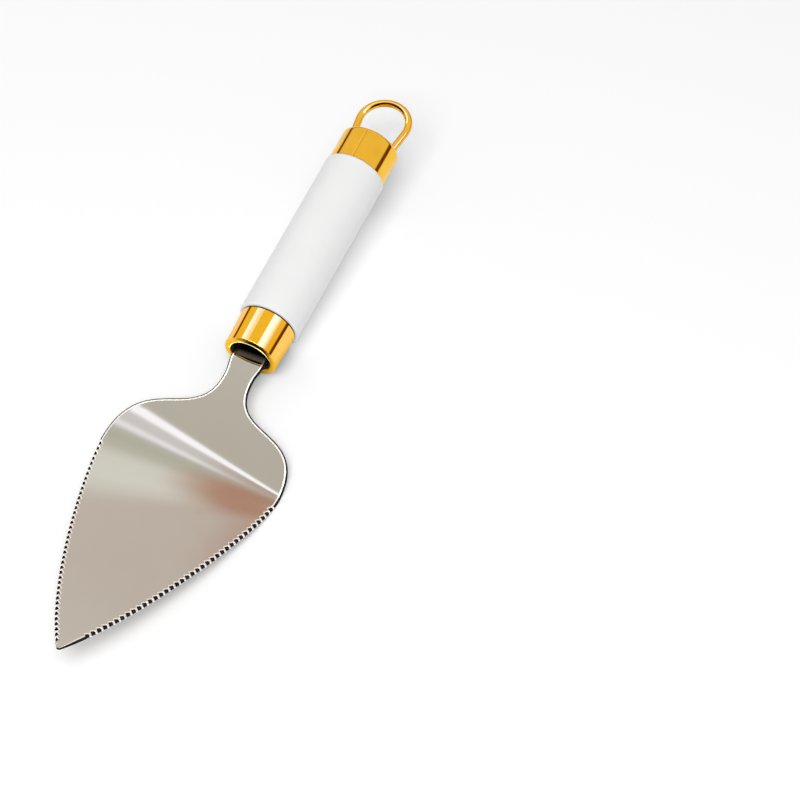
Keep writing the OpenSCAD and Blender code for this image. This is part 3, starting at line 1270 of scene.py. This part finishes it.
@dataclass(frozen=True)
class Card:
    """A panel over the table that only polished metal sees, and that throws no glints on the table.

    Attributes:
        name: Name of the card.
        corners: Its four corners as X and Y: near left, near right, far right, far left.
        height: Height above the table.
        colour: Colour of its light.
        radiance: Brightness, where 1 is white.
        soft: Share of the card over which its left, right, near and far sides fade.
        shows_in: Names of the pieces that it lights, over the light of the room. With no names it hides the
            room, in every piece.
        once: Whether it stays out of metal that is mirrored in other metal.
    """

    name: str
    corners: tuple[Flat, Flat, Flat, Flat]
    height: float
    colour: Colour
    radiance: float
    soft: tuple[float, float, float, float]
    shows_in: tuple[str, ...] = ()
    once: bool = False

    def material(self) -> Coat:
        """Make the material, which glows in the middle and lets the room through at its soft sides.

        Returns:
            The finished material.
        """
        shader = Shader(self.name)
        across, along, _ = shader.split(shader.coords.out("UV"))
        cover = first_sight(shader)
        if self.once:
            bounces = shader.add("ShaderNodeLightPath").out("Glossy Depth")
            cover = cover * (1.0 - shader.ease(bounces, 1.0, 2.0))
        for way, width in zip((across, 1.0 - across, along, 1.0 - along), self.soft):
            cover = cover * shader.ease(way, 0.0, width)
        clear = shader.add("ShaderNodeBsdfTransparent")
        light = shader.blend(cover, (0.0, 0.0, 0.0), self.colour) if self.shows_in else (*self.colour, 1.0)
        glow = shader.add("ShaderNodeEmission", {"Color": light, "Strength": self.radiance})
        if self.shows_in:
            return shader.finish(shader.add("ShaderNodeAddShader", {0: clear, 1: glow}))
        return shader.finish(shader.add("ShaderNodeMixShader", {0: cover, 1: clear, 2: glow}))

    def build(self, pieces: list[Piece]) -> None:
        """Hang the card over the table.

        Args:
            pieces: The pieces, of which it may show in only some.
        """
        mesh = bpy.data.meshes.new(self.name)
        mesh.from_pydata([(x * MM, y * MM, self.height * MM) for x, y in self.corners], [], [(0, 1, 2, 3)])
        layer = mesh.uv_layers.new(name="card")
        for loop, place in zip(layer.data, ((0.0, 0.0), (1.0, 0.0), (1.0, 1.0), (0.0, 1.0))):
            loop.uv = place
        mesh.materials.append(self.material())
        card = new_object(self.name, mesh)
        card.visible_camera = False
        card.visible_diffuse = False
        card.visible_shadow = False
        if self.shows_in:
            lit = bpy.data.collections.new(self.name)
            for piece in pieces:
                if piece.name in self.shows_in:
                    lit.objects.link(piece)
            card.light_linking.receiver_collection = lit


FERRULE = ("gold_front_ferrule",)
SHINY = ("gold_front_ferrule", "gold_hanging_loop")
CARDS = (
    Card(name="left_softbox", corners=((-310, 110), (-40, 44), (-40, 174), (-310, 245)), height=300,
         colour=(0.01, 0.033, 0.9), radiance=28.0, soft=(0.02, 0.75, 0.05, 0.05), shows_in=SHINY),
    Card(name="right_softbox", corners=((114, 60), (498, 196), (498, 326), (114, 190)), height=300,
         colour=(0.012, 0.042, 1.15), radiance=28.0, soft=(0.02, 0.85, 0.05, 0.05), shows_in=SHINY),
    Card(name="table_left", corners=((-320, -300), (-34, -300), (-34, 300), (-320, 300)), height=0.4,
         colour=(0.0, 0.02, 1.0), radiance=4.0, soft=(0.05, 0.03, 0.05, 0.05), shows_in=FERRULE),
    Card(name="table_right", corners=((13, -300), (320, -300), (320, 300), (13, 300)), height=0.4,
         colour=(0.0, 0.02, 1.0), radiance=4.0, soft=(0.03, 0.05, 0.05, 0.05), shows_in=FERRULE),
    Card(name="mouth_roof", corners=((-6.4, 9.7), (6.4, 9.7), (6.4, 12.4), (-6.4, 12.4)), height=12.5,
         colour=(0.30, 0.25, 0.21), radiance=0.45, soft=(0.1, 0.1, 0.05, 0.8), shows_in=("steel_blade",)),
    Card(name="lip_light", corners=((-5.0, 5.2), (2.5, 5.2), (7.5, 9.7), (-8.5, 9.7)), height=10.4,
         colour=(0.09, 0.13, 1.0), radiance=22.0, soft=(0.05, 0.05, 0.3, 0.02), shows_in=FERRULE),
    Card(name="near_ceiling", corners=((-1800, -1800), (1800, -1800), (1800, -250), (-1800, -250)),
         height=400, colour=(0.87, 0.80, 0.74), radiance=1.0, soft=(0.05, 0.05, 0.05, 0.05),
         shows_in=("steel_blade", "gold_rear_cap"), once=True),
    Card(name="red_panel", corners=((-320, 390), (-230, 390), (-508, 1400), (-596, 1400)), height=1000,
         colour=(0.70, 0.415, 0.30), radiance=1.0, soft=(0.56, 0.02, 0.2, 0.4)),
)


@dataclass
class Studio:
    """The table, the room that the metal mirrors, the lamp and the camera.

    Attributes:
        soft_light: Brightness of the light that comes from all round.
        room: Colour of the room in the metal.
        dark: Colour of the room along the horizon.
        behind: Colour of the room behind the camera.
        strip: Light of the long lamp overhead.
        ceiling: Colours over the blade, by their height over the far horizon in degrees.
        aside: Colour of the ceiling to the right of its bright part.
        horizon: Upward part of the directions over which the dark along the horizon ends.
        front: Part along Y over which the room behind the camera ends.
        blade_left: Part along X over which the ceiling of the blade starts.
        blade_right: Part along X over which it ends.
        bright_end: Slope to the right over which the ceiling's bright part ends.
        aside_low: Height in degrees over which the colour aside starts.
        aside_high: Height in degrees over which it ends.
        strip_near: Part along Y over which the long lamp starts.
        strip_far: Part along Y over which it ends.
        strip_low: Upward part over which the long lamp starts.
        key_at: Place of the large lamp, above the camera's side of the table.
        key_size: Width of the lamp.
        key_power: Power of the lamp, in watts.
        table: Colour of the table.
        table_r: Radius of the table.
        table_sides: Number of the sides that its round edge is made of.
        table_end: Where the table ends on the right in the metal, from and to.
        lift: How much whiter the table looks than the light on it.
        aim: Where the camera looks.
        distance: Distance of the camera from there.
        turn: Turn of the camera round the object, from straight in front to the right, in degrees.
        elevation: Height of the camera above the table, in degrees.
        roll: Lean of the camera to the right, in degrees.
        lens: Focal length.
        sensor: Width of the film.
    """

    soft_light: float = 0.5
    room: Colour = (0.87, 0.795, 0.73)
    dark: Colour = (0.16, 0.04, 0.02)
    behind: Colour = (0.02, 0.008, 0.006)
    strip: Colour = (6.0, 6.0, 5.9)
    ceiling: tuple[tuple[float, Colour], ...] = (
        (41.3, (0.87, 0.795, 0.73)), (43.5, (1.0, 0.985, 0.915)), (46.5, (1.08, 1.12, 1.05)),
        (53.0, (1.06, 1.09, 1.02)), (57.0, (0.82, 0.83, 0.73)), (60.5, (0.75, 0.765, 0.656)),
        (63.4, (0.80, 0.81, 0.76)), (64.9, (1.22, 1.25, 1.32)), (65.7, (1.40, 1.44, 1.55)),
        (66.6, (1.22, 1.24, 1.30)), (68.0, (1.00, 1.00, 1.03)), (71.6, (1.02, 1.02, 1.04)),
        (73.3, (1.66, 1.69, 1.84)), (76.1, (1.66, 1.69, 1.84)), (77.5, (0.86, 0.86, 0.80)),
        (79.5, (0.78, 0.755, 0.675)))
    aside: Colour = (0.72, 0.60, 0.52)
    horizon: Flat = (0.13, 0.22)
    front: Flat = (-0.32, -0.1)
    blade_left: Flat = (-0.42, -0.37)
    blade_right: Flat = (-0.28, -0.23)
    bright_end: Flat = (-0.342, -0.318)
    aside_low: Flat = (54.0, 59.4)
    aside_high: Flat = (72.0, 73.26)
    strip_near: Flat = (0.20, 0.22)
    strip_far: Flat = (0.25, 0.265)
    strip_low: Flat = (0.12, 0.2)
    key_at: tuple[float, float, float] = (150.0, -650.0, 1200.0)
    key_size: float = 900.0
    key_power: float = 14.0
    table: Colour = (0.96, 0.96, 0.96)
    table_r: float = 6000.0
    table_sides: int = 96
    table_end: tuple[float, float] = (200.0, 360.0)
    lift: float = 0.15
    aim: tuple[float, float, float] = (53.528, 13.437, 10.0)
    distance: float = 1379.52
    turn: float = 28.741
    elevation: float = 52.344
    roll: float = 3.778
    lens: float = 189.53
    sensor: float = 36.0

    def light_the_room(self) -> None:
        """Set the world: white to the camera, a beige room to polished metal, soft light to the rest."""
        world = bpy.data.worlds.new("studio_room")
        bpy.context.scene.world = world
        world.use_nodes = True
        tree = Tree(world.node_tree)
        across, along, up = tree.split(tree.add("ShaderNodeTexCoord").out("Generated"))
        lit = tree.ease(up, *self.horizon)
        ahead = tree.ease(along, *self.front)
        over_blade = tree.ease(across, *self.blade_left) * (1.0 - tree.ease(across, *self.blade_right))
        height = tree.math("ARCTAN2", up, along) / math.pi
        ceiling = tree.ramp(height, tuple((degrees / HALF_TURN, colour) for degrees, colour in self.ceiling))
        low = tree.ease(height, *(degrees / HALF_TURN for degrees in self.aside_low))
        high = tree.ease(height, *(degrees / HALF_TURN for degrees in self.aside_high))
        right = tree.ease(across / up, *self.bright_end) * low * (1.0 - high)
        ceiling = tree.blend(right, ceiling, self.aside)
        mirrored = tree.blend(lit, self.dark, tree.blend(over_blade, self.room, ceiling))
        mirrored = tree.blend(ahead, self.behind, mirrored)
        lamp = tree.ease(along, *self.strip_near) * (1.0 - tree.ease(along, *self.strip_far))
        lamp = lamp * tree.ease(up, *self.strip_low)
        mirrored = tree.blend(lamp * (1.0 - over_blade), mirrored, self.strip)
        path = tree.add("ShaderNodeLightPath")
        sharp = tree.math("MAXIMUM", path.out("Is Glossy Ray"), path.out("Is Transmission Ray"))
        shade = tree.blend(sharp * first_sight(tree), (self.soft_light,) * 3, mirrored)
        seen = tree.blend(path.out("Is Camera Ray"), shade, WHITE)
        glow = tree.add("ShaderNodeBackground", {"Color": seen, "Strength": 1.0})
        tree.add("ShaderNodeOutputWorld", {"Surface": glow})

    def hang_the_lamp(self) -> None:
        """Hang the large lamp, whose soft shadow falls mostly under the server."""
        lamp = bpy.data.lights.new("key_lamp", "AREA")
        lamp.size = self.key_size * MM
        lamp.energy = self.key_power
        holder = bpy.data.objects.new("key_lamp", lamp)
        holder.location = Vector(self.key_at) * MM
        holder.rotation_mode = "QUATERNION"
        holder.rotation_quaternion = (-holder.location).to_track_quat("-Z", "Y")
        holder.visible_glossy = False
        bpy.context.scene.collection.objects.link(holder)

    def lay_the_table(self) -> None:
        """Lay the plain pale table, which catches the shadow."""
        shader = Shader("pale_table")
        path = shader.add("ShaderNodeLightPath")
        top = shader.add("ShaderNodeBsdfDiffuse", {"Color": (*self.table, 1.0)})
        white = shader.add("ShaderNodeEmission", {"Color": (*WHITE, 1.0)})
        gone = shader.add("ShaderNodeEmission", {"Color": (*self.dark, 1.0)})
        lifted = shader.add("ShaderNodeMixShader", {
            0: self.lift * path.out("Is Camera Ray"), 1: top, 2: white})
        start, end = self.table_end
        past_end = shader.ease(shader.split(shader.place)[0], start * MM, end * MM)
        surface = shader.add("ShaderNodeMixShader", {
            0: past_end * path.out("Is Glossy Ray"), 1: lifted, 2: gone})
        mesh = bpy.data.meshes.new("table")
        turns = [2 * math.pi * i / self.table_sides for i in range(self.table_sides)]
        mesh.from_pydata([(self.table_r * MM * math.cos(turn), self.table_r * MM * math.sin(turn), 0.0)
                          for turn in turns], [], [tuple(range(self.table_sides))])
        mesh.materials.append(shader.finish(surface))
        new_object("table", mesh)

    def set_the_camera(self) -> None:
        """Set the camera where the photograph was taken from."""
        turn = math.radians(self.turn)
        rise = math.radians(self.elevation)
        away = Vector((math.cos(rise) * math.sin(turn), -math.cos(rise) * math.cos(turn), math.sin(rise)))
        film = bpy.data.cameras.new("camera")
        film.lens = self.lens
        film.sensor_width = self.sensor
        camera = bpy.data.objects.new("camera", film)
        camera.location = (Vector(self.aim) + away * self.distance) * MM
        camera.rotation_mode = "QUATERNION"
        lean = Quaternion((0.0, 0.0, 1.0), -math.radians(self.roll))
        camera.rotation_quaternion = (-away).to_track_quat("-Z", "Y") @ lean
        bpy.context.scene.collection.objects.link(camera)
        bpy.context.scene.camera = camera

    def build(self, pieces: list[Piece]) -> None:
        """Make the whole studio round the pieces, and keep the gold ones from tinting the table.

        Args:
            pieces: The finished pieces.
        """
        bpy.context.scene.view_settings.view_transform = "Standard"
        self.set_the_camera()
        self.light_the_room()
        self.hang_the_lamp()
        self.lay_the_table()
        for card in CARDS:
            card.build(pieces)
        for piece in pieces:
            piece.visible_diffuse = not piece.name.startswith("gold")


def main() -> None:
    """Build every piece and the studio round them."""
    logging.basicConfig(level=logging.INFO, format="%(name)s: %(message)s")
    sleeve = HandleSleeve()
    place = handle_place(sleeve.length)
    makers = (Blade(), FrontFerrule(), sleeve, RearCap(), HangingLoop())
    pieces = [maker.build(place) for maker in makers]
    Inside().dress()
    Studio().build(pieces)


if __name__ == "__main__":
    main()
